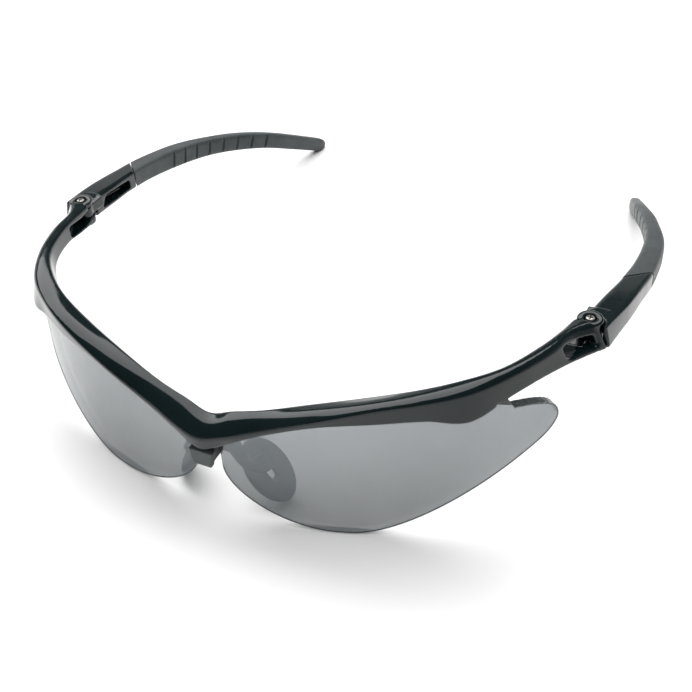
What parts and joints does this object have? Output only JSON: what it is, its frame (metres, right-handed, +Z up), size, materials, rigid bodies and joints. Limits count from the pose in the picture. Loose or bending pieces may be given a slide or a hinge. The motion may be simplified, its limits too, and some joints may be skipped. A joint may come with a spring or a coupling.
{
  "type": "safety glasses",
  "caption": "Half-frame wraparound safety glasses: a one-piece mirrored lens under a gloss brow frame, a nose bridge with soft pads, and two folding temples with soft sleeves.",
  "frame": {"origin": "on the table plane, under the middle of the glasses' width and depth", "axes": "+X to the wearer's left, +Y to the rear along the temples, +Z up; the wearer looks along -Y"},
  "size_m": [0.1408, 0.154, 0.0374],
  "materials": {
    "gloss_frame": "gloss",
    "mirrored_lens": "mirrored grey polycarbonate",
    "pad_rubber": "soft matt",
    "sleeve_rubber": "soft matt",
    "screw_steel": "bright",
    "nut_brass": "plain"
  },
  "bodies": {
    "front": {"brow_frame": "gloss_frame", "lens": "mirrored_lens", "nose_bridge": "pad_rubber", "nose_pad_left": "pad_rubber", "nose_pad_right": "pad_rubber", "hinge_screw_left": "screw_steel", "hinge_screw_right": "screw_steel", "hinge_nut_left": "nut_brass", "hinge_nut_right": "nut_brass"},
    "left_temple": {"temple_arm_left": "gloss_frame", "temple_sleeve_left": "sleeve_rubber"},
    "right_temple": {"temple_arm_right": "gloss_frame", "temple_sleeve_right": "sleeve_rubber"}
  },
  "joints": [
    {"name": "left_temple_fold", "type": "hinge", "parent": "front", "child": "left_temple", "pos_m": [0.064, -0.02435, 0.031], "axis": [0, 0, 1], "range_deg": [0, 80]},
    {"name": "right_temple_fold", "type": "hinge", "parent": "front", "child": "right_temple", "pos_m": [-0.064, -0.02435, 0.031], "axis": [0, 0, -1], "range_deg": [0, 92]}
  ]
}
